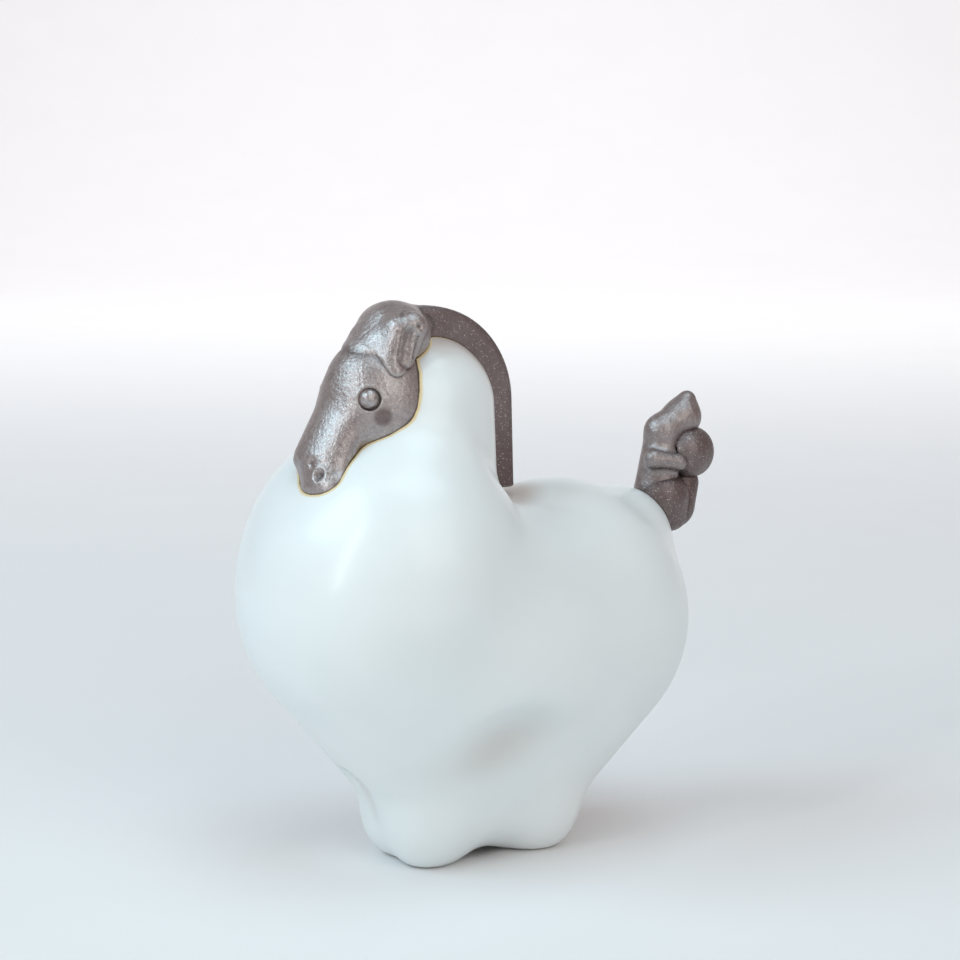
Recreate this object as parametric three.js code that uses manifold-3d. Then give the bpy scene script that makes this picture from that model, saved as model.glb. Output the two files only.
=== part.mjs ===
import * as THREE from 'three';
import { mergeVertices } from 'three/addons/utils/BufferGeometryUtils.js';
import Module from 'manifold-3d';

const wasm = await Module();
wasm.setup();

// A horse tea pet of glazed stoneware. Millimetres, +Z up. The horse looks along -X,
// its left side is -Y, and the feet stand on z = 0.

// Driving dimensions
const horseHeight = 76.75;
const bodyLength = 67.6;
const bodyWidth = 42;
const chestRadius = 20.2;
const chestHeight = 37.7;
const rumpRadius = 19.9;
const rumpHeight = 31.4;
const foreLegRadius = 8.2;
const hindLegRadius = 10.7;
const footHeight = 13.2;
const neckRadius = 9.85;
const wall = 3.2;
const ventDiameter = 9;
const seatGap = 0.3;
const headTurn = 2;
const muzzleLength = 8.5;
const maneHeight = 3.8;
const maneWidth = 4.4;
const maneBevel = 0.9;
const beadRadius = 1.5;
const beadSink = 0.95;
const nostrilRadius = 0.6;
const tailHeight = 17.9;
const browPitch = -22;

// Cells of the skins, and the shortest edge that is kept
const bodyCell = 2.5;
const cavityCell = 3.3;
const headCell = 1.25;
const lockCell = 1;
const earCell = 0.7;
const crumb = 0.004;

// Round forms. Each has a function of a point that is negative inside, and the box that holds it.

const upTo = (a, b) => a.map((value, axis) => Math.max(value, b[axis]));
const downTo = (a, b) => a.map((value, axis) => Math.min(value, b[axis]));
const plus = (point, x, y, z) => [point[0] + x, point[1] + y, point[2] + z];

function roundCone(a, b, ra, rb, width = 1) {
  const ax = [a[0], a[1] / width, a[2]];
  const bx = [b[0] - a[0], (b[1] - a[1]) / width, b[2] - a[2]];
  const l2 = bx[0] ** 2 + bx[1] ** 2 + bx[2] ** 2;
  const rr = ra - rb;
  const a2 = l2 - rr * rr;
  const sign = Math.sign(rr);
  const at = (x, y, z) => {
    const px = x - ax[0];
    const py = y / width - ax[1];
    const pz = z - ax[2];
    const along = px * bx[0] + py * bx[1] + pz * bx[2];
    const past = along - l2;
    const across = [px * l2 - bx[0] * along, py * l2 - bx[1] * along, pz * l2 - bx[2] * along];
    const side2 = across[0] ** 2 + across[1] ** 2 + across[2] ** 2;
    const y2 = along * along * l2;
    const z2 = past * past * l2;
    const k = sign * rr * rr * side2;
    if (Math.sign(past) * a2 * z2 > k) return Math.sqrt(side2 + z2) / l2 - rb;
    if (Math.sign(along) * a2 * y2 < k) return Math.sqrt(side2 + y2) / l2 - ra;
    return (Math.sqrt((side2 * a2) / l2) + along * rr) / l2 - ra;
  };
  const low = downTo(plus(a, -ra, -ra * width, -ra), plus(b, -rb, -rb * width, -rb));
  const high = upTo(plus(a, ra, ra * width, ra), plus(b, rb, rb * width, rb));
  return { at, low, high };
}

function egg(centre, radii, pitch = 0) {
  const c = Math.cos(THREE.MathUtils.degToRad(pitch));
  const s = Math.sin(THREE.MathUtils.degToRad(pitch));
  const at = (x, y, z) => {
    const dx = x - centre[0];
    const dy = y - centre[1];
    const dz = z - centre[2];
    const q = [dx * c + dz * s, dy, dz * c - dx * s];
    const k0 = Math.hypot(q[0] / radii[0], q[1] / radii[1], q[2] / radii[2]);
    const k1 = Math.hypot(q[0] / radii[0] ** 2, q[1] / radii[1] ** 2, q[2] / radii[2] ** 2);
    return k1 > 0 ? (k0 * (k0 - 1)) / k1 : -Math.min(...radii);
  };
  const half = [Math.hypot(radii[0] * c, radii[2] * s), radii[1], Math.hypot(radii[0] * s, radii[2] * c)];
  return { at, low: plus(centre, -half[0], -half[1], -half[2]), high: plus(centre, ...half) };
}

function softMin(a, b, k) {
  const h = Math.min(1, Math.max(0, 0.5 + (0.5 * (b - a)) / k));
  return b + (a - b) * h - k * h * (1 - h);
}

function rise(from, to, value) {
  const t = Math.min(1, Math.max(0, (value - from) / (to - from)));
  return t * t * (3 - 2 * t);
}

// Both sides of the horse at once; ease rounds the crease on the middle plane
function bothSides({ at, low, high }, ease = 0) {
  const reach = Math.max(-low[1], high[1]);
  const both = (x, y, z) => at(x, -Math.sqrt(y * y + ease * ease), z);
  return { at: both, low: [low[0], -reach, low[2]], high: [high[0], reach, high[2]] };
}

// Two forms in one; the reach of the blend is a length, or a function of the point
function join(reach, a, b) {
  const reachAt = typeof reach === 'function' ? reach : () => reach;
  const at = (x, y, z) => softMin(a.at(x, y, z), b.at(x, y, z), reachAt(x, y, z));
  return { at, low: downTo(a.low, b.low), high: upTo(a.high, b.high) };
}

function carve(reach, form, cutter) {
  const at = (x, y, z) => -softMin(-form.at(x, y, z), cutter.at(x, y, z), reach);
  return { at, low: form.low, high: form.high };
}

function grow({ at, low, high }, by) {
  return { at: (x, y, z) => at(x, y, z) - by, low: plus(low, -by, -by, -by), high: plus(high, by, by, by) };
}

// White body: chest, shoulders and neck, then rump, belly, feet and tail dock

const trunkLength = bodyLength - chestRadius - rumpRadius;
const chest = [0, 0, chestHeight];
const rump = [trunkLength, 0, rumpHeight];
const crown = [5.9, 0, horseHeight - maneHeight - neckRadius];
const neckRoot = [5, 0, chestHeight + 12.3];
const foreLeg = [6, 0, foreLegRadius + 3.5];
const hindLeg = [rump[0] - 6.9, 0, hindLegRadius + 0.3];
const dock = plus(rump, 0.735 * (rumpRadius - 2.9), 0, 0.647 * (rumpRadius - 2.9));
const shoulderDepth = 14.4;

const chestForm = roundCone(chest, foreLeg, chestRadius, foreLegRadius, (bodyWidth - 0.7) / (2 * chestRadius));
const shoulders = egg([0, shoulderDepth - bodyWidth / 2, chestHeight + 5.4], [14.5, shoulderDepth, 16.6]);
const neckForm = roundCone(neckRoot, crown, neckRadius + 1.25, neckRadius, 0.97);
const rumpForm = roundCone(rump, hindLeg, rumpRadius, hindLegRadius, (bodyWidth - 5.4) / (2 * rumpRadius));
const belly = egg([rump[0] / 2 - 0.4, 0, rumpHeight - 0.1], [trunkLength / 2 + 6.1, bodyWidth / 2 - 2, 14.9]);
const toe = footHeight / 2 - 0.4;
const foreFoot = egg([5, -3.8, toe], [6.6, 5.3, toe + 0.8]);
const hindFoot = egg([rump[0] - 5.6, -4.6, toe], [6, 5.3, toe + 0.8]);
const dockForm = egg(dock, [6.2, 6.5, 6.2]);
const foreCrease = roundCone([-5.2, 0, 15], [-4, 0, 5], 0.8, 1.6);
const hindCrease = roundCone([rump[0] + 3.7, 0, 15], [rump[0] + 2.3, 0, 4], 0.8, 1.6);

// The neck flows into the breast and stands upright at the withers
const neckReach = (x) => 1.6 + 4.4 * rise(12.6, 5.6, x);

// The saddle is sharp at the withers, and wide low down and on the flanks
function saddleReach(x, y, z) {
  const withers = chestHeight + 13.3;
  const low = rise(withers, withers - 14, z);
  const flank = rise(2.5, 10, Math.abs(y)) * rise(withers + 3, withers - 7, z);
  return 1.7 + 13.8 * Math.max(low, flank);
}

let body = join(5, chestForm, bothSides(shoulders, 2));
body = join(neckReach, body, neckForm);
body = join(saddleReach, body, rumpForm);
body = join(7, body, belly);
body = join(3, body, bothSides(foreFoot, 2.5));
body = join(3, body, bothSides(hindFoot, 1));
body = join(4, body, dockForm);
body = carve(2, body, foreCrease);
body = carve(2, body, hindCrease);

// Dark pieces; the head with its forelock and ears is turned a little to the horse's left

const turnCos = Math.cos(THREE.MathUtils.degToRad(headTurn));
const turnSin = Math.sin(THREE.MathUtils.degToRad(headTurn));
const headPivotX = crown[0] - 3.3;

function turnPoint([x, y, z]) {
  const dx = x - headPivotX;
  return [headPivotX + dx * turnCos - y * turnSin, y * turnCos + dx * turnSin, z];
}

function turned({ at, low, high }) {
  const form = (x, y, z) => {
    const dx = x - headPivotX;
    return at(headPivotX + dx * turnCos + y * turnSin, y * turnCos - dx * turnSin, z);
  };
  const corners = [low, high, [low[0], high[1], low[2]], [high[0], low[1], high[2]]].map(turnPoint);
  return { at: form, low: corners.reduce(downTo), high: corners.reduce(upTo) };
}

const brow = plus(crown, 3.55 - neckRadius, 0, 4.5);
const muzzleTop = plus(brow, -5, 0, -3.05);
const muzzleTip = plus(muzzleTop, -0.5 * muzzleLength, 0, -0.866 * muzzleLength);
const jaw = bothSides(egg(plus(brow, -0.1, -3.6, -5.3), [6.3, 4.1, 6]), 1);
const skull = join(2.5, egg(plus(brow, -0.6, 0, -1.7), [7.3, 7.2, 7.2], browPitch), jaw);
const muzzle = roundCone(muzzleTop, muzzleTip, 3.3, 3.3, 1.6);
const lips = egg(plus(muzzleTip, -0.65, -2.4, -3.3), [3.3, 4.8, 3.25]);
const head = turned(join(1.5, join(1.6, skull, muzzle), lips));

const cap = roundCone(plus(brow, 1.8, 0, 5.7), plus(brow, -3.2, 0, 2), 4.3, 2.75, 1.5);
const sideLock = roundCone(plus(brow, -1.3, -2.2, 4.9), plus(brow, -1.75, -5.9, 1.3), 2.05, 1);
const forelock = turned(join(0.5, cap, bothSides(sideLock)));

function earFrom(root) {
  const leaf = roundCone(plus(root, -0.5, -5.4, 2.8), plus(root, 1.3, -5.1, 6.9), 1.7, 2.2);
  const hollow = roundCone(plus(root, -2.2, -6.7, 3.5), plus(root, -1, -6.9, 7.1), 0.9, 1.1);
  return carve(0.5, leaf, hollow);
}
const leftEar = earFrom(brow);
const laidBack = earFrom(plus(brow, 1.5, 0.3, -1.2));
const rightEar = {
  at: (x, y, z) => laidBack.at(x, -y, z),
  low: [laidBack.low[0], -laidBack.high[1], laidBack.low[2]],
  high: [laidBack.high[0], -laidBack.low[1], laidBack.high[2]],
};
const ears = { left_ear: turned(leftEar), right_ear: turned(rightEar) };

const tailBend = plus(dock, 6.75, 0, tailHeight - 3.9);
const tailShoulder = plus(dock, 10.3, 0, tailHeight - 2);
const tailStem = roundCone(plus(dock, 5.6, 0, 4.6), tailBend, 3.25, 2.45);
const tailTop = roundCone(tailBend, tailShoulder, 2.45, 2.6);
const tailTip = roundCone(tailShoulder, plus(dock, 11.15, 0, tailHeight + 0.4), 2.6, 1.35);
const tailLocks = {
  tail_main_lock: join(1, join(1, tailStem, tailTop), tailTip),
  tail_curl_lock: egg(plus(dock, 11.4, -1.2, 10.8), [3.21, 3, 3.65]),
  tail_lower_lock: roundCone(plus(dock, 6.2, -0.8, 4.6), plus(dock, 7.5, -0.8, 2.3), 3.9, 2.9),
  tail_rear_lock: roundCone(plus(dock, 10.4, 0, 6.2), plus(dock, 8.6, 0, 3), 2.5, 3.4),
  tail_front_lock: roundCone(plus(dock, 3.8, -3.2, 10.3), plus(dock, 7.1, -3.4, 10.1), 1.35, 1),
};

// A closed skin over a form: one vertex for each cell that the surface crosses, drawn onto the surface

function slope({ at }, p) {
  const e = 0.02;
  return [0, 1, 2].map((axis) => {
    const a = [...p];
    const b = [...p];
    a[axis] += e;
    b[axis] -= e;
    return (at(...a) - at(...b)) / (2 * e);
  });
}

function drawOnto(form, p, reach) {
  for (let step = 0; step < 4; step++) {
    const d = form.at(...p);
    if (Math.abs(d) > reach) return;
    const g = slope(form, p);
    const g2 = g[0] ** 2 + g[1] ** 2 + g[2] ** 2;
    for (let axis = 0; axis < 3; axis++) p[axis] -= (d * g[axis]) / g2;
  }
}

function skin(form, cell) {
  const low = form.low.map((value) => value - 1.5 * cell);
  const count = low.map((value, axis) => Math.ceil((form.high[axis] - value) / cell + 1.5) + 1);
  const stride = [1, count[0], count[0] * count[1]];
  const values = new Float64Array(count[0] * count[1] * count[2]);
  const at = (i, j, k) => i + j * stride[1] + k * stride[2];
  for (let k = 0; k < count[2]; k++) {
    for (let j = 0; j < count[1]; j++) {
      for (let i = 0; i < count[0]; i++) {
        const edge = i * j * k === 0 || i === count[0] - 1 || j === count[1] - 1 || k === count[2] - 1;
        const d = form.at(low[0] + i * cell, low[1] + j * cell, low[2] + k * cell);
        values[at(i, j, k)] = edge ? Math.max(d, cell) : d;
      }
    }
  }

  const vertices = [];
  const indexOf = new Map();
  const vertexAt = (i, j, k) => {
    const key = at(i, j, k);
    if (indexOf.has(key)) return indexOf.get(key);
    const sum = [0, 0, 0];
    let crossings = 0;
    for (let corner = 0; corner < 8; corner++) {
      const c = [corner & 1, (corner >> 1) & 1, corner >> 2];
      for (let axis = 0; axis < 3; axis++) {
        if (c[axis]) continue;
        const a = values[at(i + c[0], j + c[1], k + c[2])];
        const b = values[at(i + c[0], j + c[1], k + c[2]) + stride[axis]];
        if (a < 0 === b < 0) continue;
        const t = a / (a - b);
        for (let n = 0; n < 3; n++) sum[n] += c[n] + (n === axis ? t : 0);
        crossings++;
      }
    }
    const p = [i, j, k].map((n, axis) => low[axis] + (n + sum[axis] / crossings) * cell);
    drawOnto(form, p, cell);
    indexOf.set(key, vertices.length / 3);
    vertices.push(...p);
    return indexOf.get(key);
  };

  const triangles = [];
  const span = (a, b) => Math.hypot(...[0, 1, 2].map((n) => vertices[3 * a + n] - vertices[3 * b + n]));
  for (let k = 1; k < count[2] - 1; k++) {
    for (let j = 1; j < count[1] - 1; j++) {
      for (let i = 1; i < count[0] - 1; i++) {
        const here = values[at(i, j, k)] < 0;
        for (let axis = 0; axis < 3; axis++) {
          if (here === values[at(i, j, k) + stride[axis]] < 0) continue;
          const u = [0, 0, 0];
          const v = [0, 0, 0];
          u[(axis + 1) % 3] = 1;
          v[(axis + 2) % 3] = 1;
          const ring = [
            vertexAt(i - u[0] - v[0], j - u[1] - v[1], k - u[2] - v[2]),
            vertexAt(i - v[0], j - v[1], k - v[2]),
            vertexAt(i, j, k),
            vertexAt(i - u[0], j - u[1], k - u[2]),
          ];
          if (!here) ring.reverse();
          if (span(ring[0], ring[2]) < span(ring[1], ring[3])) {
            triangles.push(ring[0], ring[1], ring[2], ring[0], ring[2], ring[3]);
          } else {
            triangles.push(ring[1], ring[2], ring[3], ring[1], ring[3], ring[0]);
          }
        }
      }
    }
  }
  return closedBody(vertices, triangles);
}

function closedBody(vertices, triangles) {
  const mesh = new wasm.Mesh({
    numProp: 3,
    vertProperties: new Float32Array(vertices),
    triVerts: new Uint32Array(triangles),
  });
  return new wasm.Manifold(mesh);
}

function fromGeometry(geometry) {
  geometry.deleteAttribute('normal');
  geometry.deleteAttribute('uv');
  const merged = mergeVertices(geometry, 1e-4);
  return closedBody(merged.attributes.position.array, merged.index.array);
}

function ball(centre, radius) {
  return fromGeometry(new THREE.IcosahedronGeometry(radius, 2).translate(...centre));
}

// Where a straight line from inside a form leaves it
function surfacePoint(form, inside, direction) {
  let near = 0;
  let far = 40;
  const point = (t) => inside.map((value, axis) => value + direction[axis] * t);
  while (form.at(...point(near)) < 0) near += 0.5;
  far = near;
  near -= 0.5;
  for (let i = 0; i < 30; i++) {
    const middle = (near + far) / 2;
    if (form.at(...point(middle)) < 0) near = middle;
    else far = middle;
  }
  return point(far);
}

// Shell: outer skin less the cavity, the vent and everything under the foot plane

const ventX = (foreLeg[0] + hindLeg[0]) / 2 - 0.4;
const underFeet = new THREE.Box3(
  new THREE.Vector3(body.low[0] - 5, body.low[1] - 5, body.low[2] - 5),
  new THREE.Vector3(body.high[0] + 5, body.high[1] + 5, 0),
);
const underSize = underFeet.getSize(new THREE.Vector3());
const underCentre = underFeet.getCenter(new THREE.Vector3());
const floorBlock = fromGeometry(new THREE.BoxGeometry(...underSize).translate(...underCentre));
const ventCutter = fromGeometry(
  new THREE.CylinderGeometry(ventDiameter / 2, ventDiameter / 2, 14, 32).rotateX(Math.PI / 2).translate(ventX, 0, 5),
);
const cavity = skin(grow(body, -wall), cavityCell);
const shell = skin(body, bodyCell).subtract(cavity).subtract(ventCutter).subtract(floorBlock);
const bodySeat = skin(grow(body, seatGap), bodyCell);

// Head, with sockets for the eye beads and two nostrils

const eyeFrom = plus(brow, -3.4, 0, -2.2);
const eyeLean = { left_eye: -0.37, right_eye: -0.22 };
const nostrilFrom = plus(muzzleTip, -0.45, 0, -0.8);
const nostrilLine = [-0.56, 0.82, -0.09];

// A point on the face, sunk below the surface; side is -1 on the left and 1 on the right
function facePoint(from, line, side, sink) {
  const start = turnPoint(from);
  const end = turnPoint([from[0] + line[0], from[1] + line[1] * side, from[2] + line[2]]);
  const direction = end.map((value, axis) => value - start[axis]);
  return surfacePoint(head, start, direction).map((value, axis) => value - direction[axis] * sink);
}

let headBody = skin(head, headCell).subtract(bodySeat);
const eyes = {};
for (const [name, side] of [['left_eye', -1], ['right_eye', 1]]) {
  const centre = facePoint(eyeFrom, [eyeLean[name], 0.94, 0.04], side, beadSink);
  eyes[name] = ball(centre, beadRadius);
  headBody = headBody.subtract(ball(centre, beadRadius + seatGap));
  headBody = headBody.subtract(ball(facePoint(nostrilFrom, nostrilLine, side, 0), nostrilRadius));
}
const headSeat = skin(grow(head, seatGap), headCell);

// Mane: a bevelled strip swept over the crown and down the back of the neck

const manePivot = plus(crown, 2.7, 0, -6.1);
const maneFrom = 118;
const maneTo = -38;
const maneSteps = 34;

// Half the strip's outline across the neck, from its foot inside the body to its bevelled top
function maneSection(spread) {
  const half = maneWidth / 2 + spread;
  const top = maneHeight + spread;
  const side = [[-half, -2], [-half, top - maneBevel], [-half + 0.3 * maneBevel, top - 0.3 * maneBevel]];
  side.push([-half + maneBevel, top]);
  return [...side, ...side.map(([y, h]) => [-y, h]).reverse()];
}

function sweepMane(spread) {
  const reach = THREE.MathUtils.radToDeg(spread / 14);
  const from = maneFrom + reach;
  const to = maneTo - reach;
  const section = maneSection(spread);
  const vertices = [];
  for (let i = 0; i <= maneSteps; i++) {
    const angle = THREE.MathUtils.degToRad(from + ((to - from) * i) / maneSteps);
    const root = surfacePoint(neckForm, manePivot, [Math.cos(angle), 0, Math.sin(angle)]);
    const n = slope(neckForm, root);
    const length = Math.hypot(n[0], n[2]);
    for (const [y, h] of section) vertices.push(root[0] + (n[0] / length) * h, y, root[2] + (n[2] / length) * h);
  }
  const size = section.length;
  const triangles = [];
  for (let r = 0; r < maneSteps; r++) {
    for (let s = 0; s < size; s++) {
      const a = r * size + s;
      const b = r * size + ((s + 1) % size);
      triangles.push(a, a + size, b, b, a + size, b + size);
    }
  }
  const last = maneSteps * size;
  for (let s = 1; s < size - 1; s++) {
    triangles.push(0, s, s + 1);
    triangles.push(last, last + s + 1, last + s);
  }
  return closedBody(vertices, triangles);
}

const mane = sweepMane(0).subtract(bodySeat).subtract(headSeat);
const maneSeat = sweepMane(seatGap);

// Forelock and ears, bedded on the head beside the mane

const underForelock = [headSeat, bodySeat, maneSeat];
const bedded = (piece, seats) => piece.subtract(seats.reduce((all, seat) => all.add(seat)));
const forelockBody = bedded(skin(forelock, lockCell), underForelock);
const forelockSeat = skin(grow(forelock, seatGap), lockCell);

// Tail: five rolled locks, each bedded on the rump and on the locks laid before it

const tail = {};
const underLock = [bodySeat];
for (const [name, lock] of Object.entries(tailLocks)) {
  tail[name] = bedded(skin(lock, lockCell), underLock);
  underLock.push(skin(grow(lock, seatGap), lockCell));
}

// Named meshes, moved along X so that the whole horse is centred on the origin

const whiteGlaze = { color: 0xe4edf0, roughness: 0.35, metalness: 0 };
const ironGlaze = { color: 0x5d5354, roughness: 0.45, metalness: 0.55 };
const pieces = [
  ['body_shell', shell, whiteGlaze],
  ['head', headBody, ironGlaze],
  ['forelock', forelockBody, ironGlaze],
];
for (const [name, ear] of Object.entries(ears)) {
  pieces.push([name, bedded(skin(ear, earCell), [...underForelock, forelockSeat]), ironGlaze]);
}
for (const [name, bead] of Object.entries(eyes)) pieces.push([name, bead, ironGlaze]);
pieces.push(['mane', mane, ironGlaze]);
for (const [name, lock] of Object.entries(tail)) pieces.push([name, lock, ironGlaze]);

const boxes = pieces.map(([, piece]) => piece.boundingBox());
const front = Math.min(...boxes.map((box) => box.min[0]));
const back = Math.max(...boxes.map((box) => box.max[0]));
const group = new THREE.Group();
group.name = 'tea_pet';

function place(name, piece, finish) {
  const { vertProperties, triVerts, numProp } = piece.simplify(crumb).getMesh();
  const position = new Float32Array((vertProperties.length / numProp) * 3);
  for (let i = 0; i < position.length / 3; i++) {
    position[3 * i] = vertProperties[numProp * i] - (front + back) / 2;
    position[3 * i + 1] = vertProperties[numProp * i + 1];
    position[3 * i + 2] = vertProperties[numProp * i + 2];
  }
  const geometry = new THREE.BufferGeometry();
  geometry.setAttribute('position', new THREE.BufferAttribute(position, 3));
  geometry.setIndex(Array.from(triVerts));
  geometry.computeVertexNormals();
  const mesh = new THREE.Mesh(geometry, new THREE.MeshStandardMaterial(finish));
  mesh.name = name;
  group.add(mesh);
}

for (const [name, piece, finish] of pieces) place(name, piece, finish);

export default group;
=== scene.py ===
import math

import bpy
import numpy as np
from mathutils import Matrix, Vector


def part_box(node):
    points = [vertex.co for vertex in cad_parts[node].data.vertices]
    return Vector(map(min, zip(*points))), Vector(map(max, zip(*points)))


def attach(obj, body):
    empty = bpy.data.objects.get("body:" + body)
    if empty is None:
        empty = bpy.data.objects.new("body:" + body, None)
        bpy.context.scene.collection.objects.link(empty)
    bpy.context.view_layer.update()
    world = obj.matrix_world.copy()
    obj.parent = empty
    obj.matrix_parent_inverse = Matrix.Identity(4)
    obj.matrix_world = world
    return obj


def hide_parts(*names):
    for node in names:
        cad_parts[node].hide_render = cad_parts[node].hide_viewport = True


# A horse tea pet of glazed stoneware. Forms are fields in millimetres, negative inside.
# The middle of the chest is at x = 0 in the fields. The finished meshes are in metres and
# moved along X by SHIFT, so that the whole horse is centred on the origin.

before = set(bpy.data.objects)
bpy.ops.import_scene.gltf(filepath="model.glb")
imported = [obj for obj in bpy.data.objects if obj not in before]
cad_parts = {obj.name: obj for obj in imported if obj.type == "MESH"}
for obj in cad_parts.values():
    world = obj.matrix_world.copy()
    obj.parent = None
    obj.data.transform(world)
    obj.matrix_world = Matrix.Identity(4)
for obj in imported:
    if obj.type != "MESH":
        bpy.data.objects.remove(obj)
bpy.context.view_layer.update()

# Main sizes in millimetres, and the turn of the head in degrees
HORSE_HEIGHT = 76.75
BODY_LENGTH = 67.6
BODY_WIDTH = 42.0
CHEST_RADIUS = 20.2
CHEST_HEIGHT = 37.7
RUMP_RADIUS = 19.9
RUMP_HEIGHT = 31.4
FORE_LEG_RADIUS = 8.2
HIND_LEG_RADIUS = 10.7
FOOT_HEIGHT = 13.2
NECK_RADIUS = 9.85
WALL = 3.2
VENT_RADIUS = 4.5
HEAD_TURN = 2.0
MUZZLE_LENGTH = 8.5
MANE_HEIGHT = 3.8
MANE_WIDTH = 4.4
MANE_BEVEL = 0.9
BEAD_RADIUS = 1.35
BEAD_SINK = 0.78
TAIL_HEIGHT = 17.9
SHIFT = -17.22

# How far the dark pieces reach under the glaze, the steps for curvature, the body's mesh cell
DARK_SINK = 0.7
FINE_STEP = 0.25
BROAD_STEP = 3.0
BODY_CELL = 0.75

# Rounds that find a point on a line, and rounds that draw vertices onto a surface
HALVINGS = 50
PULLS = 4


# Fields

def plus(point, x, y, z):
    return (point[0] + x, point[1] + y, point[2] + z)


def soft_min(a, b, k):
    h = np.clip(0.5 + 0.5 * (b - a) / k, 0, 1)
    return b + (a - b) * h - k * h * (1 - h)


def soft_max(a, b, k):
    return -soft_min(-a, -b, k)


def rise(start, end, value):
    t = np.clip((value - start) / (end - start), 0, 1)
    return t * t * (3 - 2 * t)


def bell(value, middle, width):
    """A smooth bump of height 1 round a middle value."""
    return np.exp(-((value - middle) / width) ** 2)


def egg(p, centre, radii, pitch=0.0):
    """Ellipsoid, pitched nose down about Y, in degrees."""
    q = p - np.array(centre, float)
    a = math.radians(pitch)
    x, y, z = q[..., 0], q[..., 1], q[..., 2]
    q = np.stack([x * math.cos(a) + z * math.sin(a), y, z * math.cos(a) - x * math.sin(a)], -1)
    q = q / np.array(radii, float)
    k0 = np.linalg.norm(q, axis=-1)
    k1 = np.linalg.norm(q / np.array(radii, float), axis=-1)
    return k0 * (k0 - 1) / np.maximum(k1, 1e-6)


def cone(p, a, b, ra, rb, width=1.0):
    """Round cone from a ball at a to a ball at b."""
    s = np.array([1, 1 / width, 1])
    p, a, b = p * s, np.array(a, float) * s, np.array(b, float) * s
    ba = b - a
    l2 = ba @ ba
    rr = ra - rb
    a2 = l2 - rr * rr
    pa = p - a
    y = pa @ ba
    z = y - l2
    x2 = ((pa * l2 - ba * y[..., None]) ** 2).sum(-1)
    k = np.sign(rr) * rr * rr * x2
    beyond_b = np.sqrt(x2 + z * z * l2) / l2 - rb
    beyond_a = np.sqrt(x2 + y * y * l2) / l2 - ra
    between = (np.sqrt(x2 * a2 / l2) + y * rr) / l2 - ra
    return np.where(np.sign(z) * a2 * z * z * l2 > k, beyond_b,
                    np.where(np.sign(y) * a2 * y * y * l2 < k, beyond_a, between))


def both_sides(p, ease=0.0):
    """The left side stands for both; ease rounds the crease on the middle plane."""
    q = p.copy()
    q[..., 1] = -np.sqrt(p[..., 1] ** 2 + ease * ease)
    return q


# White body

CHEST = (0.0, 0.0, CHEST_HEIGHT)
RUMP = (BODY_LENGTH - CHEST_RADIUS - RUMP_RADIUS, 0.0, RUMP_HEIGHT)
CROWN = (5.9, 0.0, HORSE_HEIGHT - MANE_HEIGHT - NECK_RADIUS)
NECK_ROOT = (5.0, 0.0, CHEST_HEIGHT + 12.3)
FORE_LEG = (6.0, 0.0, FORE_LEG_RADIUS + 3.5)
HIND_LEG = (RUMP[0] - 6.9, 0.0, HIND_LEG_RADIUS + 0.3)
DOCK = plus(RUMP, 0.735 * (RUMP_RADIUS - 2.9), 0, 0.647 * (RUMP_RADIUS - 2.9))
WITHERS = CHEST_HEIGHT + 13.3
VENT_X = (FORE_LEG[0] + HIND_LEG[0]) / 2 - 0.4
TOE = FOOT_HEIGHT / 2 - 0.4


def neck(p):
    return cone(p, NECK_ROOT, CROWN, NECK_RADIUS + 1.25, NECK_RADIUS, 0.97)


def body(p):
    """Chest, shoulders, neck, rump, belly and feet, dented above and between the legs."""
    x, y, z = p[..., 0], np.abs(p[..., 1]), p[..., 2]
    chest_width = (BODY_WIDTH - 0.7) / (2 * CHEST_RADIUS)
    rump_width = (BODY_WIDTH - 5.4) / (2 * RUMP_RADIUS)
    d = cone(p, CHEST, FORE_LEG, CHEST_RADIUS, FORE_LEG_RADIUS, chest_width)
    shoulder_at = (0, 14.4 - BODY_WIDTH / 2, CHEST_HEIGHT + 5.4)
    d = soft_min(d, egg(both_sides(p, 2), shoulder_at, (14.5, 14.4, 16.6)), 5)
    d = soft_min(d, neck(p), 1.6 + 4.4 * rise(12.6, 5.6, x))
    flank = rise(2.5, 10, y) * rise(WITHERS + 3, WITHERS - 7, z)
    saddle = np.maximum(rise(WITHERS, WITHERS - 14, z), flank)
    rump = cone(p, RUMP, HIND_LEG, RUMP_RADIUS, HIND_LEG_RADIUS, rump_width)
    d = soft_min(d, rump, 1.7 + 13.8 * saddle)
    belly_at = (RUMP[0] / 2 - 0.4, 0, RUMP_HEIGHT - 0.1)
    d = soft_min(d, egg(p, belly_at, (RUMP[0] / 2 + 6.1, BODY_WIDTH / 2 - 2, 14.9)), 7)
    d = soft_min(d, egg(both_sides(p, 2.5), (5.0, -3.8, TOE), (6.6, 5.3, TOE + 0.8)), 3)
    d = soft_min(d, egg(both_sides(p, 1), (RUMP[0] - 5.6, -4.6, TOE), (6.0, 5.3, TOE + 0.8)), 3)
    d = soft_min(d, egg(p, DOCK, (6.2, 6.5, 6.2)), 4)
    dent_at = (RUMP[0] / 2 - 3.2, 1.9 - BODY_WIDTH / 2, RUMP_HEIGHT - 12.7)
    d = soft_max(d, -egg(both_sides(p), dent_at, (6.8, 5, 4.6)), 4)
    d = soft_max(d, -cone(p, (-5.2, 0, 15), (-4, 0, 5), 0.8, 1.6), 2)
    d = soft_max(d, -cone(p, (RUMP[0] + 3.7, 0, 15), (RUMP[0] + 2.3, 0, 4), 0.8, 1.6), 2)
    return d


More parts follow.
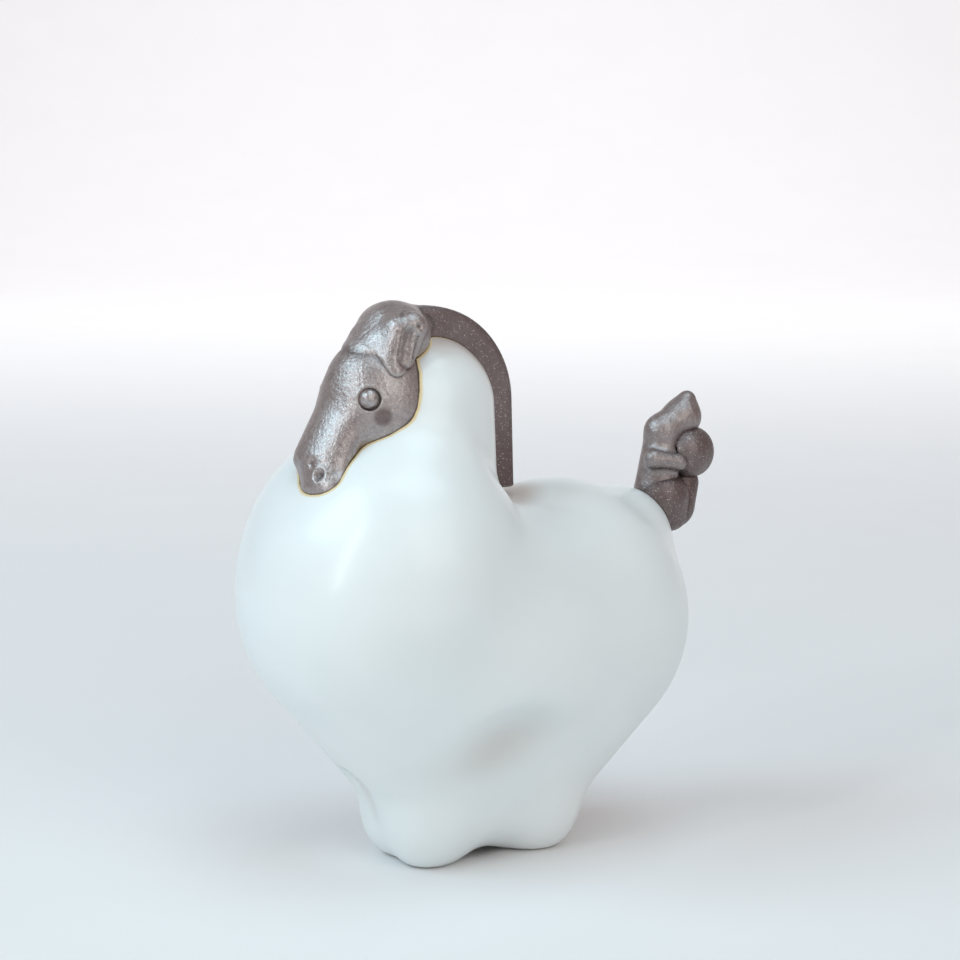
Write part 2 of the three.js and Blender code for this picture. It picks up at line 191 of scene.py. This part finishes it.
def shell(p):
    """The body with its cavity, vent and ground feet."""
    d = body(p)
    vent = np.hypot(p[..., 0] - VENT_X, p[..., 1]) - VENT_RADIUS
    inside = np.maximum(d + WALL, WALL - p[..., 2])
    inside = np.minimum(inside, np.maximum(vent, p[..., 2] - 12))
    return soft_max(soft_max(d, -p[..., 2], 0.5), -inside, 0.6)


# Head; with its forelock and ears it is turned a little to the horse's left

BROW = plus(CROWN, 3.55 - NECK_RADIUS, 0, 4.5)
MUZZLE_TOP = plus(BROW, -5, 0, -3.05)
MUZZLE_TIP = plus(MUZZLE_TOP, -0.5 * MUZZLE_LENGTH, 0, -0.866 * MUZZLE_LENGTH)
HEAD_PIVOT = CROWN[0] - 3.3
TURN_COS, TURN_SIN = math.cos(math.radians(HEAD_TURN)), math.sin(math.radians(HEAD_TURN))


def turned(p):
    x, y = p[..., 0] - HEAD_PIVOT, p[..., 1]
    straight_x = HEAD_PIVOT + x * TURN_COS + y * TURN_SIN
    return np.stack([straight_x, y * TURN_COS - x * TURN_SIN, p[..., 2]], -1)


def turn_back(x, y, z):
    dx = x - HEAD_PIVOT
    return (HEAD_PIVOT + dx * TURN_COS - y * TURN_SIN, y * TURN_COS + dx * TURN_SIN, z)


def plain_head(p):
    """Skull, cheeks, muzzle and lips, without any marks."""
    q = turned(p)
    m = both_sides(q, 1)
    skull = egg(q, plus(BROW, -0.6, 0, -1.7), (7.3, 7.2, 7.2), -22)
    skull = soft_min(skull, egg(m, plus(BROW, -0.1, -3.6, -5.3), (6.3, 4.1, 6)), 2.5)
    d = soft_min(skull, cone(q, MUZZLE_TOP, MUZZLE_TIP, 3.3, 3.3, 1.6), 1.6)
    return soft_min(d, egg(q, plus(MUZZLE_TIP, -0.65, -2.4, -3.3), (3.3, 4.8, 3.25)), 1.5)


def leave(field, inside, line):
    """Where a line from inside a form leaves it."""
    start, step = np.array(inside, float), np.array(line, float)
    near, far = 0.0, 40.0
    for _ in range(HALVINGS):
        middle = (near + far) / 2
        if field((start + step * middle)[None])[0] < 0:
            near = middle
        else:
            far = middle
    return start + step * near


def face_point(offset_from, offset, line, side):
    """Where a line from the head's middle plane comes out of the face."""
    start = plus(offset_from, *offset)
    end = plus(start, line[0], line[1] * side, line[2])
    a, b = np.array(turn_back(*start)), np.array(turn_back(*end))
    return leave(plain_head, a, b - a)


# Sides are -1 for the horse's left and 1 for its right
SIDES = (-1, 1)
EYE_LEAN = {-1: -0.37, 1: -0.22}
EYES = {s: face_point(BROW, (-3.4, 0, -2.2), (EYE_LEAN[s], 0.94, 0.04), s) for s in SIDES}
NOSTRILS = {s: face_point(MUZZLE_TIP, (-0.45, 0, -0.8), (-0.56, 0.82, -0.09), s) for s in SIDES}
CHEEKS = {s: face_point(BROW, (-1.8, 0, -4.3), (-0.34, 0.94, 0.0), s) for s in SIDES}
NOSE_PIT = face_point(MUZZLE_TIP, (-0.55, 0, 0.4), (-0.8, 0.6, -0.08), -1)
SOCKET_RADIUS = 1.34
SOCKET_RIM_RADIUS = 1.75
NOSTRIL_RIM_RADIUS = 1.05
PIT_WIDTH = 0.55
SPOT_RADIUS = 1.25


def eye_line(side):
    """The way an eye faces."""
    end = turn_back(HEAD_PIVOT + EYE_LEAN[side], 0.94 * side, 0.04)
    return np.array(end) - np.array((HEAD_PIVOT, 0, 0))


def ball(p, centre, radius):
    return np.linalg.norm(p - np.array(centre, float), axis=-1) - radius


def head(p):
    """The head with its eye sockets, nostrils and their rims."""
    d = plain_head(p)
    for side in SIDES:
        r = ball(p, EYES[side], 0)
        d = d + 0.5 * bell(r, SOCKET_RADIUS, 0.19) - 0.07 * bell(r, SOCKET_RIM_RADIUS, 0.22)
        r = ball(p, NOSTRILS[side], 0)
        d = d + 0.6 * bell(r, 0, PIT_WIDTH) - 0.1 * bell(r, NOSTRIL_RIM_RADIUS, 0.35)
    return d + 0.25 * bell(ball(p, NOSE_PIT, 0), 0, PIT_WIDTH)


def bead(side):
    """An eye, set a little low and back in its socket."""
    centre = EYES[side] - eye_line(side) * BEAD_SINK + np.array((0.075, 0.07 * side, -0.08))
    return lambda p: ball(p, centre, BEAD_RADIUS)


# The right ear is laid a little further back
EAR_ROOTS = {-1: BROW, 1: plus(BROW, 1.5, 0.3, -1.2)}


def ear_side(p, side):
    """Points as the left ear has them."""
    q = turned(p)
    q[..., 1] *= -side
    return q


def ear_hollow(p, side):
    """The scoop between the forelock and the ear's ridge."""
    q, b = ear_side(p, side), EAR_ROOTS[side]
    return cone(q, plus(b, -1.15, -7.55, 2.9), plus(b, -0.2, -7.3, 6.4), 0.9, 1.0)


def forelock(p):
    """A cap, its tail towards the mane, a lock down each side and a fillet to each ear."""
    q = turned(p)
    m = both_sides(q)
    crest = plus(BROW, 1.8, 0, 5.7)
    d = cone(q, crest, plus(BROW, -3.2, 0, 2), 4.3, 2.75, 1.5)
    lock = cone(m, plus(BROW, -1.3, -2.2, 4.9), plus(BROW, -1.75, -5.9, 1.3), 2.05, 1)
    d = soft_min(d, lock, 0.5)
    d = soft_min(d, cone(q, crest, plus(BROW, 6.3, 0, 6.85), 4.2, 2.25), 0.5)
    for side in SIDES:
        e, b = ear_side(p, side), EAR_ROOTS[side]
        fillet = cone(e, plus(b, 0.0, -4.4, 6.5), plus(b, -1.3, -5.0, 2.6), 1.95, 1.6)
        d = soft_min(d, fillet, 1.5)
    d = d - 0.16 * bell(plain_head(p), 0.35, 0.4)
    for side in SIDES:
        d = soft_max(d, -ear_hollow(p, side), 0.7)
    return d


def ear(side):
    """A leaf with a hollow in front, a narrow groove behind its ridge and a pit at the top."""
    def field(p):
        q, b = ear_side(p, side), EAR_ROOTS[side]
        d = cone(q, plus(b, -0.5, -5.4, 2.8), plus(b, 1.3, -5.1, 6.9), 1.7, 2.2)
        d = soft_max(d, -ear_hollow(p, side), 0.4)
        groove = cone(q, plus(b, 0.72, -6.97, 3.2), plus(b, 1.15, -7.3, 5.7), 0.42, 0.45)
        d = soft_max(d, -groove, 0.3)
        return soft_max(d, -ball(q, plus(b, 1.3, -7.45, 7.3), 0.5), 0.3)
    return field


def mane(p):
    """A bevelled strip along the neck, from the forelock to the withers."""
    over, beside = np.abs(neck(p)) - MANE_HEIGHT, np.abs(p[..., 1]) - MANE_WIDTH / 2
    q = np.stack([over, beside], -1) + MANE_BEVEL
    d = np.linalg.norm(np.maximum(q, 0), axis=-1) + np.minimum(q.max(-1), 0) - MANE_BEVEL
    d = np.maximum(d, 1.6 - p[..., 0])
    return np.maximum(d, WITHERS + 0.2 - p[..., 2])


# Tail locks, placed from the dock

BEND = plus(DOCK, 6.75, 0, TAIL_HEIGHT - 3.9)
SHOULDER = plus(DOCK, 10.3, 0, TAIL_HEIGHT - 2)


def main_lock(p):
    """Stem, shoulder and tip, filled out where the front and lower locks touch it."""
    d = cone(p, plus(DOCK, 5.6, 0, 4.6), BEND, 3.25, 2.45)
    d = soft_min(d, cone(p, BEND, SHOULDER, 2.45, 2.6), 1)
    d = soft_min(d, cone(p, SHOULDER, plus(DOCK, 11.15, 0, TAIL_HEIGHT + 0.4), 2.6, 1.35), 1)
    d = soft_min(d, front_lock(p) + 0.3, 1.8)
    return soft_min(d, lower_lock(p) + 0.4, 1.2)


def curl_lock(p):
    d = egg(p, plus(DOCK, 11.4, -1.2, 10.8), (3.21, 3, 3.65))
    return soft_min(d, egg(p, plus(DOCK, 9.8, -2, 10.9), (2.9, 2.8, 3.3)), 1)


def lower_lock(p):
    return cone(p, plus(DOCK, 6.2, -0.8, 4.6), plus(DOCK, 7.5, -0.8, 2.3), 3.9, 2.9)


def rear_lock(p):
    return cone(p, plus(DOCK, 10.4, 0, 6.2), plus(DOCK, 8.6, 0, 3), 2.5, 3.4)


def front_lock(p):
    return cone(p, plus(DOCK, 3.6, -2.2, 10.5), plus(DOCK, 7.2, -3.3, 9.9), 1.4, 1.25)


# Meshes from fields

def gradient(field, p, e=0.03):
    steps = [np.array([e, 0, 0]), np.array([0, e, 0]), np.array([0, 0, e])]
    return np.stack([field(p + s) - field(p - s) for s in steps], -1) / (2 * e)


def skin(field, low, high, cell):
    """Closed quads over a field: one vertex for each crossed cell, drawn onto the surface."""
    count = [int(math.ceil((high[i] - low[i]) / cell)) + 1 for i in range(3)]
    axes = [low[i] + cell * np.arange(count[i]) for i in range(3)]
    values = np.empty(count)
    for i, x in enumerate(axes[0]):
        plane = np.stack(np.meshgrid([x], axes[1], axes[2], indexing="ij"), -1)
        values[i] = field(plane)[0]
    inside = values < 0
    span = [n - 1 for n in count]
    total, crossings = np.zeros(span + [3]), np.zeros(span)
    corners = [(a, b, c) for a in (0, 1) for b in (0, 1) for c in (0, 1)]
    for c in corners:
        for axis in range(3):
            if c[axis]:
                continue
            e = list(c)
            e[axis] = 1
            first = tuple(slice(c[i], c[i] + span[i]) for i in range(3))
            last = tuple(slice(e[i], e[i] + span[i]) for i in range(3))
            a, b = values[first], values[last]
            crossed = (a < 0) != (b < 0)
            t = np.where(crossed, a / np.where(crossed, a - b, 1), 0)
            for i in range(3):
                total[..., i] += crossed * c[i] + (t if i == axis else 0)
            crossings += crossed
    active = crossings > 0
    number = np.full(active.shape, -1)
    number[active] = np.arange(active.sum())
    place = np.argwhere(active) + total[active] / crossings[active][:, None]
    verts = np.array(low, float) + place * cell
    faces = []
    for axis in range(3):
        u, v = (axis + 1) % 3, (axis + 2) % 3
        here = [slice(1, span[i]) for i in range(3)]
        there = list(here)
        there[axis] = slice(2, span[axis] + 1)
        a, b = inside[tuple(here)], inside[tuple(there)]
        at = np.argwhere(a != b) + 1
        flip = ~a[a != b]
        ring = []
        for du, dv in ((1, 1), (0, 1), (0, 0), (1, 0)):
            c = at.copy()
            c[:, u] -= du
            c[:, v] -= dv
            ring.append(number[c[:, 0], c[:, 1], c[:, 2]])
        ring = np.stack(ring, -1)
        ring[flip] = ring[flip][:, ::-1]
        faces.append(ring)
    faces = np.concatenate(faces)
    for _ in range(PULLS):
        d, g = field(verts), gradient(field, verts)
        move = d[:, None] * g / np.maximum((g * g).sum(-1, keepdims=True), 0.05)
        size = np.linalg.norm(move, axis=-1, keepdims=True)
        verts = verts - move * np.minimum(1, 0.6 * cell / np.maximum(size, 1e-9))
    return verts, faces


def to_object(name, verts, faces, attributes):
    mesh = bpy.data.meshes.new(name)
    placed = (verts + np.array([SHIFT, 0, 0])) * 0.001
    mesh.vertices.add(len(placed))
    mesh.vertices.foreach_set("co", placed.astype(np.float32).ravel())
    mesh.loops.add(faces.size)
    mesh.loops.foreach_set("vertex_index", faces.astype(np.int32).ravel())
    mesh.polygons.add(len(faces))
    mesh.polygons.foreach_set("loop_start", np.arange(0, faces.size, 4, dtype=np.int32))
    mesh.update(calc_edges=True)
    mesh.validate()
    mesh.shade_smooth()
    for key, values in attributes.items():
        layer = mesh.attributes.new(key, "FLOAT", "POINT")
        layer.data.foreach_set("value", values.astype(np.float32))
    obj = bpy.data.objects.new(name, mesh)
    bpy.context.scene.collection.objects.link(obj)
    return obj


# Camera of the photo: 33 degrees ahead of the left side, 12 above, 330 mm away.
# It sees the point HORSE_MIDDLE at HORSE_PIXEL.

AZIMUTH = -33
ELEVATION = 12
REACH = 330.0
PHOTO_SIZE = 960
PHOTO_MIDDLE = PHOTO_SIZE / 2
HORSE_MIDDLE = (14.6 + SHIFT, 0, 38)
HORSE_PIXEL = (476, 581)
PIXELS_PER_MM = 7.2


def add_camera():
    az, el = math.radians(AZIMUTH), math.radians(ELEVATION)
    back = Vector((math.sin(az) * math.cos(el), -math.cos(az) * math.cos(el), math.sin(el)))
    right = Vector((math.cos(az), math.sin(az), 0))
    up = back.cross(right)
    focal = PIXELS_PER_MM * REACH
    across = (HORSE_PIXEL[0] - PHOTO_MIDDLE) / focal
    down = (HORSE_PIXEL[1] - PHOTO_MIDDLE) / focal
    look = (-back - right * across + up * down).normalized()
    side = look.cross(Vector((0, 0, 1))).normalized()
    top = side.cross(look)
    camera = bpy.data.cameras.new("camera")
    camera.sensor_width = 36
    camera.lens = focal / PHOTO_SIZE * camera.sensor_width
    camera.clip_start = 0.01
    camera.clip_end = 50
    obj = bpy.data.objects.new("camera", camera)
    eye = (Vector(HORSE_MIDDLE) + back * REACH) * 0.001
    turn = Matrix((side, top, -look)).transposed().to_4x4()
    obj.matrix_world = Matrix.Translation(eye) @ turn
    bpy.context.scene.collection.objects.link(obj)
    bpy.context.scene.camera = obj


# Materials

CLOUDED_WHITE = (0.80, 0.855, 0.865)
COOL_WHITE = (0.835, 0.88, 0.888)
MANE_TINT_AND_SHADE = (0.52, 0.41, 0.36)
HOLLOW_SHADE_BROWN = (0.52, 0.46, 0.42)
EDGE_YELLOW = (0.80, 0.65, 0.36)
EDGE_SHADOW_LINE = (0.07, 0.05, 0.04)
BARE_CLAY = (0.62, 0.52, 0.40)
DEEP_IRON = (0.385, 0.335, 0.33)
PALE_IRON = (0.465, 0.42, 0.42)
LUMP_BROWN = (0.20, 0.165, 0.165)
MATT_AND_SHADE_BROWN = (0.115, 0.073, 0.07)
GRAIN_BROWN = (0.08, 0.06, 0.06)
SPECK = (0.80, 0.70, 0.66)
RIDGE_HIGHLIGHT = (0.60, 0.56, 0.52)
GROOVE_SHADE = (0.05, 0.036, 0.036)
SEAM_SHADE = (0.06, 0.043, 0.043)
CHEEK_SPOT = (0.10, 0.058, 0.054)
IRON_EDGE_SHADOW = (0.09, 0.055, 0.045)


def new_material(name):
    material = bpy.data.materials.new(name)
    material.use_nodes = True
    tree = material.node_tree
    tree.nodes.clear()
    output = tree.nodes.new("ShaderNodeOutputMaterial")
    shader = tree.nodes.new("ShaderNodeBsdfPrincipled")
    tree.links.new(shader.outputs["BSDF"], output.inputs["Surface"])
    return material, tree, shader


def coordinates(tree):
    return tree.nodes.new("ShaderNodeTexCoord").outputs["Object"]


def noise(tree, where, scale, detail, rough=0.5):
    node = tree.nodes.new("ShaderNodeTexNoise")
    node.inputs["Scale"].default_value = scale
    node.inputs["Detail"].default_value = detail
    node.inputs["Roughness"].default_value = rough
    tree.links.new(where, node.inputs["Vector"])
    return node.outputs["Fac"]


def dots(tree, where, scale):
    node = tree.nodes.new("ShaderNodeTexVoronoi")
    node.inputs["Scale"].default_value = scale
    tree.links.new(where, node.inputs["Vector"])
    return node.outputs["Distance"]


def ramp(tree, value, stops):
    node = tree.nodes.new("ShaderNodeMapRange")
    node.interpolation_type = "SMOOTHSTEP"
    for key, number in zip(("From Min", "From Max", "To Min", "To Max"), stops):
        node.inputs[key].default_value = number
    tree.links.new(value, node.inputs["Value"])
    return node.outputs["Result"]


def math_node(tree, operation, a, b):
    node = tree.nodes.new("ShaderNodeMath")
    node.operation = operation
    for socket, value in zip(node.inputs, (a, b)):
        if isinstance(value, (int, float)):
            socket.default_value = value
        else:
            tree.links.new(value, socket)
    return node.outputs[0]


def mix(tree, factor, a, b):
    node = tree.nodes.new("ShaderNodeMix")
    node.data_type = "RGBA"
    for socket, value in ((node.inputs[0], factor), (node.inputs[6], a), (node.inputs[7], b)):
        if isinstance(value, (int, float)):
            socket.default_value = value
        elif isinstance(value, tuple):
            socket.default_value = (*value, 1)
        else:
            tree.links.new(value, socket)
    return node.outputs[2]


def attribute(tree, name):
    node = tree.nodes.new("ShaderNodeAttribute")
    node.attribute_name = name
    return node.outputs["Fac"]


def bump(tree, height, strength, distance, after=None):
    node = tree.nodes.new("ShaderNodeBump")
    node.inputs["Strength"].default_value = strength
    node.inputs["Distance"].default_value = distance
    tree.links.new(height, node.inputs["Height"])
    if after is not None:
        tree.links.new(after, node.inputs["Normal"])
    return node.outputs["Normal"]


def white_glaze():
    """Cool white with painted brownish shade in hollows, browner by the mane (partly painted
    shade), a yellow line and a painted dark shadow line round dark pieces, bare feet.
    """
    material, tree, shader = new_material("white_glaze")
    where = coordinates(tree)
    cloud = noise(tree, where, 60, 2)
    tone = mix(tree, ramp(tree, cloud, (0.35, 0.65, 0, 1)), CLOUDED_WHITE, COOL_WHITE)
    near = attribute(tree, "to_dark")
    wander = math_node(tree, "MULTIPLY", noise(tree, where, 420, 3), 0.36)
    near = math_node(tree, "SUBTRACT", near, math_node(tree, "SUBTRACT", wander, 0.18))
    # Brownish tint by the mane: partly thin glaze near the dark glaze, partly painted shade on
    # the neck's edge
    mane_tint_and_shade = ramp(tree, attribute(tree, "to_mane"), (0.3, 6.0, 0.75, 0))
    tone = mix(tree, mane_tint_and_shade, tone, MANE_TINT_AND_SHADE)
    # Painted shade: brownish in the dent above the leg arch and in the leg creases
    hollow_shade = math_node(tree, "MULTIPLY", attribute(tree, "hollow"), 0.45)
    tone = mix(tree, hollow_shade, tone, HOLLOW_SHADE_BROWN)
    yellow = ramp(tree, near, (0.14, 0.46, 1, 0))
    yellow = math_node(tree, "MULTIPLY", yellow, attribute(tree, "fringe"))
    tone = mix(tree, yellow, tone, EDGE_YELLOW)
    # Painted contact shadow: a thin dark line where the white meets a dark piece
    line = ramp(tree, near, (0.0, 0.09, 1, 0))
    tone = mix(tree, line, tone, EDGE_SHADOW_LINE)
    ground = ramp(tree, attribute(tree, "height"), (0.02, 0.12, 1, 0))
    tone = mix(tree, ground, tone, BARE_CLAY)
    tree.links.new(tone, shader.inputs["Base Color"])
    gloss = ramp(tree, noise(tree, where, 180, 3), (0.3, 0.7, 0.29, 0.36))
    gloss = math_node(tree, "MAXIMUM", gloss, math_node(tree, "MULTIPLY", ground, 0.85))
    tree.links.new(gloss, shader.inputs["Roughness"])
    shader.inputs["Coat Weight"].default_value = 0.2
    shader.inputs["Coat Roughness"].default_value = 0.16
    shader.inputs["IOR"].default_value = 1.5
    broad = bump(tree, noise(tree, where, 95, 2), 0.08, 0.0006)
    fine = bump(tree, noise(tree, where, 900, 2), 0.06, 0.0001, broad)
    tree.links.new(fine, shader.inputs["Normal"])
    return material


def iron_glaze():
    """Brown with a metallic sheen, pale specks, painted highlights on ridges, painted shade in
    grooves and along seams, and a painted dark edge at the white.
    """
    material, tree, shader = new_material("iron_glaze")
    where = coordinates(tree)
    grain = noise(tree, where, 3600, 3, 0.6)
    lumps = noise(tree, where, 1600, 3, 0.6)
    cloud = noise(tree, where, 130, 2)
    matt_and_shade = attribute(tree, "matt_and_shade")
    tone = mix(tree, ramp(tree, cloud, (0.3, 0.7, 0, 1)), DEEP_IRON, PALE_IRON)
    tone = mix(tree, ramp(tree, lumps, (0.36, 0.6, 0.25, 0)), tone, LUMP_BROWN)
    # Darker brown where matt: the mane's own tone, and partly painted shade on the lower tail
    # locks
    tone = mix(tree, math_node(tree, "MULTIPLY", matt_and_shade, 0.7), tone, MATT_AND_SHADE_BROWN)
    tone = mix(tree, ramp(tree, grain, (0.36, 0.5, 0.12, 0)), tone, GRAIN_BROWN)
    speck = ramp(tree, dots(tree, where, 3200), (0.16, 0.30, 1, 0))
    some = ramp(tree, noise(tree, where, 1500, 2), (0.43, 0.55, 0, 1))
    speck = math_node(tree, "MULTIPLY", speck, some)
    tone = mix(tree, math_node(tree, "MULTIPLY", speck, 0.6), tone, SPECK)
    curve = attribute(tree, "ridge")
    # Painted highlight: paler on ridges, from the curvature
    tone = mix(tree, ramp(tree, curve, (1.2, 3.2, 0, 0.3)), tone, RIDGE_HIGHLIGHT)
    # Painted shade: darker in grooves, from the curvature
    tone = mix(tree, ramp(tree, curve, (-0.8, -4.0, 0, 0.7)), tone, GROOVE_SHADE)
    # Painted shade along the seams where dark pieces meet
    seam = ramp(tree, attribute(tree, "seam"), (0.03, 0.3, 0.4, 0))
    tone = mix(tree, seam, tone, SEAM_SHADE)
    spot = math_node(tree, "MULTIPLY", attribute(tree, "spot"), 0.65)
    tone = mix(tree, spot, tone, CHEEK_SPOT)
    # Painted contact shadow: the dark glaze darkens just where it meets the white
    edge = ramp(tree, attribute(tree, "to_white"), (0.0, 0.24, 0.75, 0))
    tone = mix(tree, edge, tone, IRON_EDGE_SHADOW)
    tree.links.new(tone, shader.inputs["Base Color"])
    gloss = math_node(tree, "ADD", ramp(tree, grain, (0.3, 0.7, 0.27, 0.41)),
                      math_node(tree, "MULTIPLY", matt_and_shade, 0.12))
    tree.links.new(gloss, shader.inputs["Roughness"])
    shader.inputs["Metallic"].default_value = 0.8
    shader.inputs["IOR"].default_value = 1.6
    broad = bump(tree, lumps, 0.65, 0.0002)
    fine = bump(tree, grain, 0.5, 0.00007, broad)
    tree.links.new(fine, shader.inputs["Normal"])
    return material


def paper(name, colour):
    material, tree, shader = new_material(name)
    where = coordinates(tree)
    tone = mix(tree, noise(tree, where, 30, 2), colour, tuple(c * 0.97 for c in colour))
    tree.links.new(tone, shader.inputs["Base Color"])
    shader.inputs["Roughness"].default_value = 0.7
    return material


# Pieces

def outside(field):
    """A dark form, ended just under the white body's surface."""
    return lambda p: np.maximum(field(p), -(body(p) + DARK_SINK))


def box_around(node, margin=1.5):
    low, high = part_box(node)
    low, high = np.array(low) * 1000 - margin, np.array(high) * 1000 + margin
    return low - np.array([SHIFT, 0, 0]), high - np.array([SHIFT, 0, 0])


def curvature(field, p, e):
    """Above zero on ridges and below it in grooves."""
    total = sum(field(p + s) + field(p - s) for s in np.eye(3) * e) - 6 * field(p)
    return total / (e * e)


WHITE, IRON = white_glaze(), iron_glaze()

# The form and mesh cell of each dark piece
DARK = {
    "head": (head, 0.22),
    "forelock": (forelock, 0.3),
    "left_ear": (ear(-1), 0.25),
    "right_ear": (ear(1), 0.25),
    "mane": (mane, 0.35),
    "tail_main_lock": (main_lock, 0.35),
    "tail_curl_lock": (curl_lock, 0.35),
    "tail_lower_lock": (lower_lock, 0.35),
    "tail_rear_lock": (rear_lock, 0.35),
    "tail_front_lock": (front_lock, 0.3),
    "left_eye": (bead(-1), 0.2),
    "right_eye": (bead(1), 0.2),
}
# How matt and dark the mane and tail are; the others are glossy. The darker lower tail locks are
# partly painted shade.
MATT_AND_SHADE = {"mane": 0.9, "tail_main_lock": 0.35, "tail_curl_lock": 0.95, "tail_lower_lock": 1.05,
        "tail_rear_lock": 1.1, "tail_front_lock": 0.45}
# Added to the eyes' seam distance, so no painted seam shade falls on them
NO_SEAM = 9


def add_piece(name, node, obj, material):
    obj.data.materials.append(material)
    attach(obj, "root")
    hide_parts(node)


def nearest_dark(verts, but=""):
    """Distance to the nearest dark piece, apart from the eyes and one named piece."""
    fields = [f for key, (f, cell) in DARK.items() if key != but and "eye" not in key]
    return np.min(np.stack([f(verts) for f in fields]), 0)


def painted_hollow_shade(verts):
    """Strength of the painted brownish shade: the dent above the leg arch and the creases of the
    legs.
    """
    x, y, z = verts.T
    off_line = z - 18.2 - 0.25 * (x - 9.5)
    dent = bell(x, 9.5, 8) * bell(off_line, 0, 4) * rise(6, 11, np.abs(y))
    crease = rise(-0.02, -0.12, curvature(body, verts, BROAD_STEP))
    return dent + 0.6 * crease * rise(16, 12, z)


def add_body():
    """The white shell; the edge line is yellow where fringe is 1, at the neck and forehead."""
    low, high = box_around("body_shell", 2.5)
    verts, faces = skin(shell, low, high, BODY_CELL)
    x, z = verts[:, 0], verts[:, 2]
    fringe = rise(WITHERS + 2, WITHERS + 12, z) + rise(0, 1, 6 - x) * (z > 45)
    # The hollow attribute carries painted shade; the to_mane attribute drives the brownish tint
    # by the mane, which is partly painted shade
    obj = to_object("white_body", verts, faces, {
        "to_dark": nearest_dark(verts), "to_mane": mane(verts), "hollow": painted_hollow_shade(verts),
        "fringe": np.clip(fringe, 0, 1), "height": z})
    add_piece("white_body", "body_shell", obj, WHITE)


def add_dark(key, field, cell):
    """A dark piece; its cheek spot has a flat middle and a soft edge."""
    low, high = box_around(key)
    is_eye = "eye" in key
    verts, faces = skin(field if is_eye else outside(field), low, high, cell)
    spot = sum(np.exp(-(ball(verts, CHEEKS[s], 0) / SPOT_RADIUS) ** 8) for s in SIDES)
    matt_and_shade = np.full(len(verts), MATT_AND_SHADE.get(key, 0.0))
    if key == "mane":
        # Darker and more matt towards the bottom of the mane
        matt_and_shade += 0.3 * rise(WITHERS + 14, WITHERS + 1, verts[:, 2])
    seam = np.abs(nearest_dark(verts, key)) + (NO_SEAM if is_eye else 0)
    # The ridge attribute drives painted highlights and groove shade, the seam attribute painted
    # seam shade, and the matt values a darkening that is partly painted shade
    obj = to_object("dark_" + key, verts, faces, {
        "to_white": body(verts), "ridge": curvature(field, verts, FINE_STEP), "matt_and_shade": matt_and_shade,
        "seam": seam, "spot": spot if key == "head" else spot * 0})
    add_piece("dark_" + key, key, obj, IRON)


add_body()
for key, (field, cell) in DARK.items():
    add_dark(key, field, cell)


# Stage and light

def add_floor():
    """A flat floor that bends up into a wall behind the horse."""
    steps, bend, bend_start = 24, 0.6, 0.9
    rows = []
    for i in range(steps + 1):
        t = i / steps
        if t < 0.5:
            rows.append((2.4 * t / 0.5 - 1.5, 0.0))
        else:
            a = (t - 0.5) / 0.5 * math.pi / 2
            rows.append((bend_start + bend * math.sin(a), bend - bend * math.cos(a)))
    rows.append((bend_start + bend, 2.5))
    verts, faces = [], []
    for y, z in rows:
        verts += [(-3, y, z), (3, y, z)]
    for i in range(len(rows) - 1):
        faces.append((2 * i, 2 * i + 1, 2 * i + 3, 2 * i + 2))
    mesh = bpy.data.meshes.new("floor")
    mesh.from_pydata(verts, [], faces)
    mesh.shade_smooth()
    obj = bpy.data.objects.new("floor", mesh)
    obj.rotation_euler = (0, 0, math.radians(AZIMUTH))
    bpy.context.scene.collection.objects.link(obj)
    obj.data.materials.append(paper("pale_floor", (0.86, 0.86, 0.87)))


def add_area(name, az, el, reach, size, power, colour, target=None):
    """A soft light that faces the horse, or another target."""
    light = bpy.data.lights.new(name, "AREA")
    light.shape = "RECTANGLE"
    light.size, light.size_y = size
    light.energy = power
    light.color = colour
    a, e = math.radians(az), math.radians(el)
    direction = Vector((math.sin(a) * math.cos(e), -math.cos(a) * math.cos(e), math.sin(e)))
    obj = bpy.data.objects.new(name, light)
    obj.location = Vector((0, 0, 0.04)) + direction * reach
    if target is not None:
        direction = obj.location - Vector(target)
    obj.rotation_euler = direction.to_track_quat("Z", "Y").to_euler()
    bpy.context.scene.collection.objects.link(obj)


def add_world(colour, strength):
    world = bpy.data.worlds.new("world")
    world.use_nodes = True
    background = world.node_tree.nodes["Background"]
    background.inputs["Color"].default_value = (*colour, 1)
    background.inputs["Strength"].default_value = strength
    bpy.context.scene.world = world


add_floor()

# Azimuth and elevation in degrees, reach and size in metres, power in watts
add_area("window", -80, 24, 0.7, (0.06, 0.5), 1.0, (0.84, 0.95, 0.97))
add_area("front", 0, 32, 1.1, (0.8, 0.8), 3.0, (0.90, 0.98, 0.94))
add_area("far_left", -110, 42, 0.9, (0.45, 0.45), 2.8, (0.58, 0.87, 0.99))
add_area("overhead", 20, 78, 0.9, (0.6, 0.6), 2.7, (0.60, 0.86, 0.97))
add_area("backdrop", 147, 38.7, 0.9, (1.2, 0.5), 4.8, (0.97, 0.98, 1.0), (0.65, 1.0, 0.1))

add_world((1.0, 0.80, 0.75), 0.38)
bpy.context.scene.view_settings.view_transform = "Standard"
add_camera()
